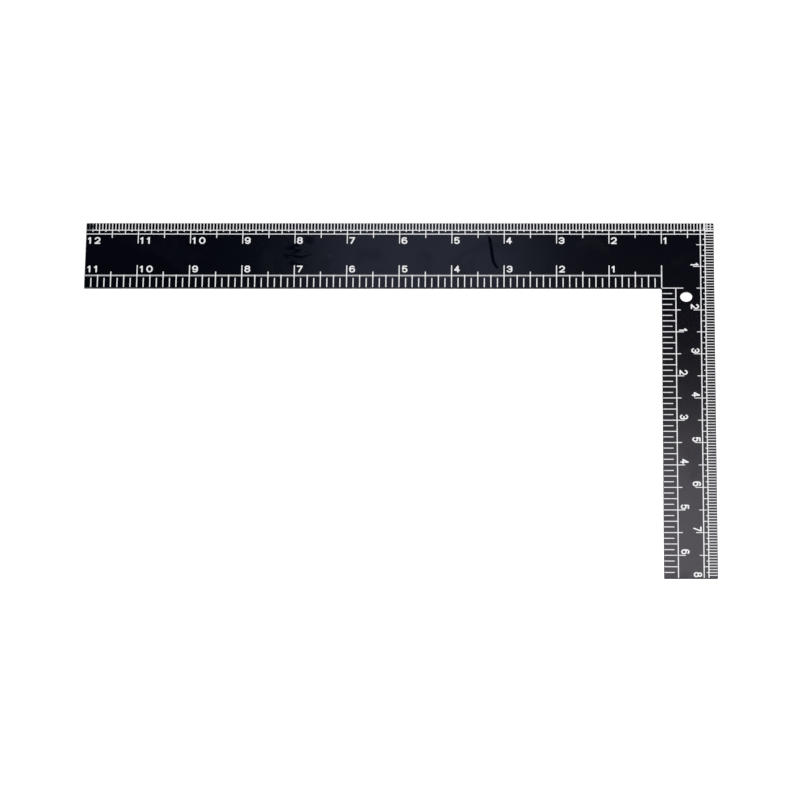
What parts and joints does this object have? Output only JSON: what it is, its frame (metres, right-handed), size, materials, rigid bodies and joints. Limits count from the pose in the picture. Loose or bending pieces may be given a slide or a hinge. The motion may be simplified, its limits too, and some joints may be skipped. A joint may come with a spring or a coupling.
{
  "type": "carpenter's square",
  "caption": "Flat L-shaped steel carpenter's square with a wide body, a narrow tongue, inch scales along every edge and a hanging hole.",
  "frame": {"origin": "outer corner of the heel, where the two outer edges would meet, on the back face", "axes": "the body (wide arm) runs along -X, the tongue (narrow arm) along -Y, and +Z comes out of the front face, the one read with the tongue hanging down on the right"},
  "size_m": [0.3048, 0.2032, 0.001],
  "materials": {
    "black_enamelled_steel": "smooth semi-gloss black enamel",
    "white_scale_paint": "white paint wiped into the stamped lines, slightly uneven",
    "white_numeral_paint": "white paint wiped into the stamped digits, slightly uneven"
  },
  "bodies": {
    "root": {"blade": "black_enamelled_steel", "front_heel_crosshatch": "white_scale_paint", "front_body_outer_graduations": "white_scale_paint", "front_body_inner_graduations": "white_scale_paint", "front_body_outer_numerals": "white_numeral_paint", "front_body_inner_numerals": "white_numeral_paint", "front_tongue_outer_graduations": "white_scale_paint", "front_tongue_inner_graduations": "white_scale_paint", "front_tongue_outer_numerals": "white_numeral_paint", "front_tongue_inner_numerals": "white_numeral_paint", "back_heel_crosshatch": "white_scale_paint", "back_body_outer_graduations": "white_scale_paint", "back_body_inner_graduations": "white_scale_paint", "back_body_outer_numerals": "white_numeral_paint", "back_body_inner_numerals": "white_numeral_paint", "back_tongue_outer_graduations": "white_scale_paint", "back_tongue_inner_graduations": "white_scale_paint", "back_tongue_outer_numerals": "white_numeral_paint", "back_tongue_inner_numerals": "white_numeral_paint"}
  },
  "joints": []
}
